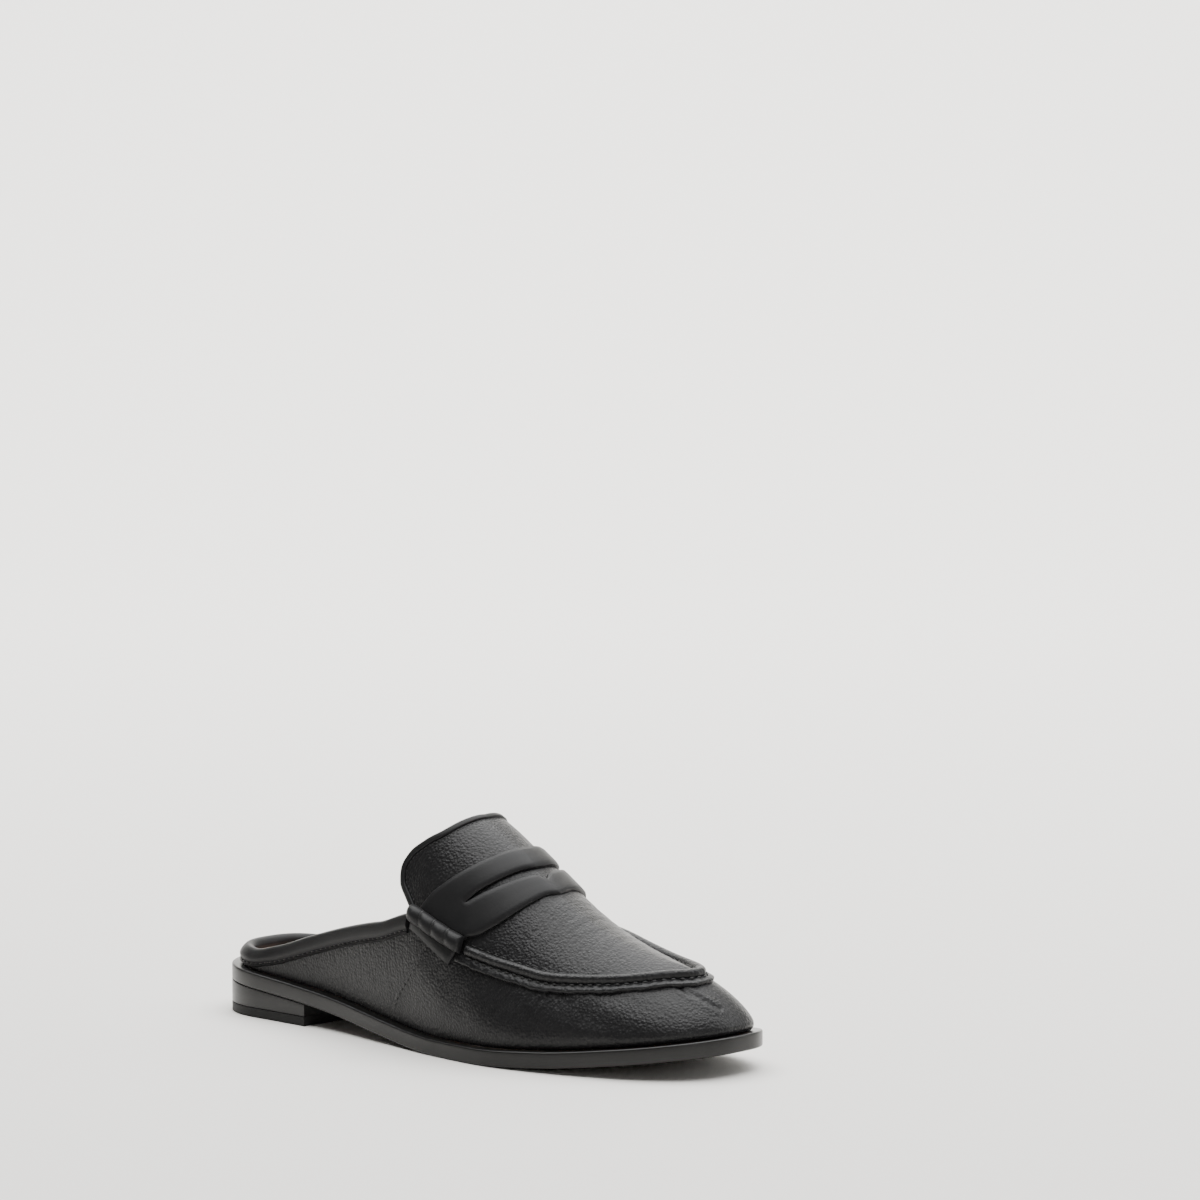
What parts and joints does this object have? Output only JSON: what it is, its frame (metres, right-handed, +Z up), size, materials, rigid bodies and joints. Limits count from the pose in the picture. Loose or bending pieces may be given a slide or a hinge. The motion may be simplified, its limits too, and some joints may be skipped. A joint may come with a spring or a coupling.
{
  "type": "loafer mule",
  "caption": "Backless slip-on loafer for the right foot: apron toe with raised seam, slotted saddle strap, side beef rolls, rising tongue and a low stacked heel.",
  "frame": {"origin": "on the floor under the middle of the outsole's length and width", "axes": "+X from heel to toe, +Y to the medial side (the left of the shoe seen from its heel), +Z up"},
  "size_m": [0.262, 0.0878, 0.0925],
  "materials": {
    "grain_leather": "pebbled black full-grain leather, soft gloss",
    "smooth_leather": "smooth black leather, satin",
    "sole_edge": "black inked and waxed edge, semi-gloss",
    "heel_rubber": "matt black",
    "sock_leather": "nude sock leather, matt"
  },
  "bodies": {
    "root": {"outsole": "sole_edge", "heel_block": "sole_edge", "heel_lift": "heel_rubber", "insole": "sock_leather", "upper": "grain_leather", "saddle_strap": "smooth_leather", "seam_roll": "grain_leather", "seam_flange": "smooth_leather", "beef_roll_lateral": "smooth_leather", "beef_roll_medial": "smooth_leather", "collar_binding": "smooth_leather", "tongue_edge_tape": "smooth_leather"}
  },
  "joints": []
}
